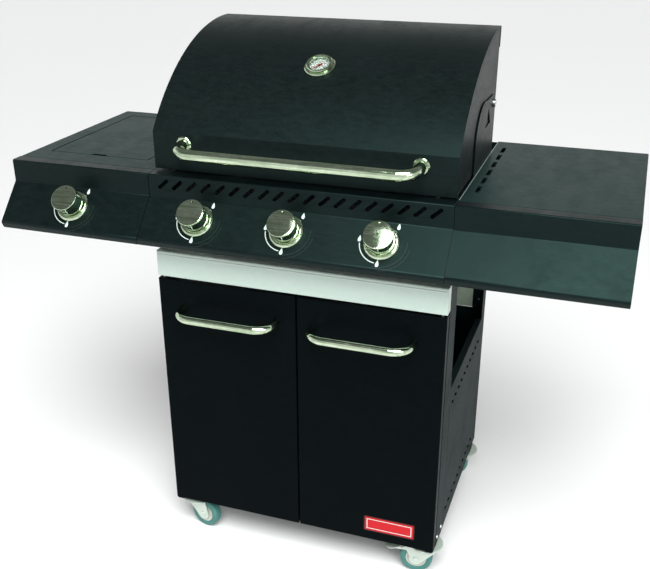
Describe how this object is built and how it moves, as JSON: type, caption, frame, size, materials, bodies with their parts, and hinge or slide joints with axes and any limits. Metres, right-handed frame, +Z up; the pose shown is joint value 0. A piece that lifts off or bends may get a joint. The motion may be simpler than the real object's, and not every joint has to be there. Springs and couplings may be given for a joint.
{
  "type": "gas barbecue grill",
  "caption": "Gas barbecue with curved hood, side burner under a lid, side shelf, chrome knobs and handles, and a cabinet with two doors on swivel casters.",
  "frame": {"origin": "on the floor, under the middle of the bounding box", "axes": "+X to the right along the shelves as seen from the front, front towards -Y, +Z up"},
  "size_m": [1.218, 0.557, 1.091],
  "materials": {
    "hood_paint": "anthracite powder coat, satin, fine texture",
    "panel_paint": "anthracite powder coat, satin, fine texture",
    "shelf_paint": "anthracite powder coat, satin, fine texture",
    "door_paint": "near-black powder coat, smooth satin",
    "cart_paint": "dark grey powder coat, satin",
    "rail_paint": "pale silver-grey paint, satin",
    "enamel": "black vitreous enamel, semi-gloss",
    "chrome": "polished chrome plate",
    "rack_chrome": "bright wire plating with heat tint",
    "cast_iron": "matt black enamelled cast iron",
    "stainless": "brushed stainless steel, heat-tinted",
    "galvanised": "galvanised sheet with faint spangle",
    "zinc_steel": "bright zinc-plated steel",
    "caster_steel": "pressed zinc-plated steel",
    "burner_brass": "cast brass, dulled",
    "valve_brass": "machined brass",
    "dial_face": "printed dial, pale with dark scale ticks",
    "needle_red": "red enamel",
    "glass": "clear flat glass",
    "bumper_rubber": "black silicone rubber",
    "magnet_black": "moulded black plastic",
    "hub_plastic": "pale grey moulded plastic",
    "tyre_rubber": "grey-green elastic rubber tread"
  },
  "bodies": {
    "cart": {"control_panel": "panel_paint", "shelf_fascias": "panel_paint", "left_shelf": "shelf_paint", "right_shelf": "shelf_paint", "side_burner_bowl": "enamel", "side_burner_head": "burner_brass", "side_burner_grate": "cast_iron", "hood_end_plates": "hood_paint", "firebox": "enamel", "back_guard": "enamel", "hood_bumpers": "bumper_rubber", "burner_tubes": "stainless", "heat_tents": "stainless", "cooking_grates": "cast_iron", "warming_rack": "rack_chrome", "knob_bezels": "chrome", "gas_valves": "valve_brass", "gas_pipework": "zinc_steel", "bottom_panel": "cart_paint", "cart_posts": "cart_paint", "side_panels": "cart_paint", "back_panel": "cart_paint", "rear_crossbar": "galvanised", "front_rail": "rail_paint", "hinge_pins": "zinc_steel", "magnet_catch": "magnet_black", "bolts_and_screws": "zinc_steel", "tray_runners": "galvanised", "caster_plates": "zinc_steel"},
    "hood": {"hood_shell": "hood_paint", "hood_ends": "hood_paint", "hood_handle": "chrome", "thermometer_bezel": "chrome", "thermometer_dial": "dial_face", "thermometer_glass": "glass"},
    "needle": {"thermometer_needle": "needle_red"},
    "left_door": {"left_door": "door_paint", "left_door_handle": "chrome"},
    "right_door": {"right_door": "door_paint", "right_door_handle": "chrome"},
    "side_burner_lid": {"side_burner_lid": "shelf_paint"},
    "grease_tray": {"grease_tray": "galvanised"},
    "side_burner_knob": {"side_burner_knob": "chrome"},
    "left_burner_knob": {"left_burner_knob": "chrome"},
    "middle_burner_knob": {"middle_burner_knob": "chrome"},
    "right_burner_knob": {"right_burner_knob": "chrome"},
    "front_left_fork": {"front_left_fork": "caster_steel"},
    "front_left_wheel": {"front_left_hub": "hub_plastic", "front_left_tyre": "tyre_rubber"},
    "front_right_fork": {"front_right_fork": "caster_steel"},
    "front_right_wheel": {"front_right_hub": "hub_plastic", "front_right_tyre": "tyre_rubber"},
    "front_right_brake_pedal": {"front_right_brake_pedal": "caster_steel"},
    "rear_left_fork": {"rear_left_fork": "caster_steel"},
    "rear_left_wheel": {"rear_left_hub": "hub_plastic", "rear_left_tyre": "tyre_rubber"},
    "rear_right_fork": {"rear_right_fork": "caster_steel"},
    "rear_right_wheel": {"rear_right_hub": "hub_plastic", "rear_right_tyre": "tyre_rubber"},
    "rear_right_brake_pedal": {"rear_right_brake_pedal": "caster_steel"}
  },
  "joints": [
    {"name": "hood_hinge", "type": "hinge", "parent": "cart", "child": "hood", "pos_m": [0, 0.14246, 0.947], "axis": [-1, 0, 0], "range_deg": [0, 80]},
    {"name": "thermometer_needle_turn", "type": "hinge", "parent": "hood", "child": "needle", "pos_m": [-0.003, -0.04584, 1.03279], "axis": [0, -0.4939, 0.8695], "range_deg": [-270, 0]},
    {"name": "left_door_hinge", "type": "hinge", "parent": "cart", "child": "left_door", "pos_m": [-0.288, -0.19304, 0.35], "axis": [0, 0, -1], "range_deg": [0, 110]},
    {"name": "right_door_hinge", "type": "hinge", "parent": "cart", "child": "right_door", "pos_m": [0.288, -0.19304, 0.35], "axis": [0, 0, 1], "range_deg": [0, 110]},
    {"name": "side_burner_lid_hinge", "type": "hinge", "parent": "cart", "child": "side_burner_lid", "pos_m": [-0.4595, 0.20346, 0.838], "axis": [-1, 0, 0], "range_deg": [0, 95]},
    {"name": "grease_tray_slide", "type": "slide", "parent": "cart", "child": "grease_tray", "axis": [0, 1, 0], "range_m": [0, 0.35]},
    {"name": "side_burner_knob_turn", "type": "hinge", "parent": "cart", "child": "side_burner_knob", "pos_m": [-0.4595, -0.23308, 0.76831], "axis": [0, -0.7332, 0.68], "range_deg": [0, 180]},
    {"name": "left_burner_knob_turn", "type": "hinge", "parent": "cart", "child": "left_burner_knob", "pos_m": [-0.1865, -0.23308, 0.76831], "axis": [0, -0.7332, 0.68], "range_deg": [0, 180]},
    {"name": "middle_burner_knob_turn", "type": "hinge", "parent": "cart", "child": "middle_burner_knob", "pos_m": [-0.0045, -0.23308, 0.76831], "axis": [0, -0.7332, 0.68], "range_deg": [0, 180]},
    {"name": "right_burner_knob_turn", "type": "hinge", "parent": "cart", "child": "right_burner_knob", "pos_m": [0.1775, -0.23308, 0.76831], "axis": [0, -0.7332, 0.68], "range_deg": [0, 180]},
    {"name": "front_left_swivel", "type": "hinge", "parent": "cart", "child": "front_left_fork", "pos_m": [-0.258, -0.16954, 0.072], "axis": [0, 0, 1], "continuous": true},
    {"name": "front_left_wheel_spin", "type": "hinge", "parent": "front_left_fork", "child": "front_left_wheel", "pos_m": [-0.23844, -0.1737, 0.035], "axis": [0.2079, 0.9781, 0], "continuous": true},
    {"name": "front_right_swivel", "type": "hinge", "parent": "cart", "child": "front_right_fork", "pos_m": [0.276, -0.16454, 0.072], "axis": [0, 0, 1], "continuous": true},
    {"name": "front_right_wheel_spin", "type": "hinge", "parent": "front_right_fork", "child": "front_right_wheel", "pos_m": [0.25615, -0.16698, 0.035], "axis": [0.1219, -0.9925, 0], "continuous": true},
    {"name": "front_right_brake", "type": "hinge", "parent": "front_right_fork", "child": "front_right_brake_pedal", "pos_m": [0.22637, -0.17063, 0.062], "axis": [0.1219, -0.9925, 0], "range_deg": [0, 10]},
    {"name": "rear_left_swivel", "type": "hinge", "parent": "cart", "child": "rear_left_fork", "pos_m": [-0.268, 0.21846, 0.072], "axis": [0, 0, 1], "continuous": true},
    {"name": "rear_left_wheel_spin", "type": "hinge", "parent": "rear_left_fork", "child": "rear_left_wheel", "pos_m": [-0.28679, 0.21162, 0.035], "axis": [0.342, -0.9397, 0], "continuous": true},
    {"name": "rear_right_swivel", "type": "hinge", "parent": "cart", "child": "rear_right_fork", "pos_m": [0.279, 0.21446, 0.072], "axis": [0, 0, 1], "continuous": true},
    {"name": "rear_right_wheel_spin", "type": "hinge", "parent": "rear_right_fork", "child": "rear_right_wheel", "pos_m": [0.25915, 0.21202, 0.035], "axis": [0.1219, -0.9925, 0], "continuous": true},
    {"name": "rear_right_brake", "type": "hinge", "parent": "rear_right_fork", "child": "rear_right_brake_pedal", "pos_m": [0.22937, 0.20837, 0.062], "axis": [0.1219, -0.9925, 0], "range_deg": [0, 10]}
  ]
}
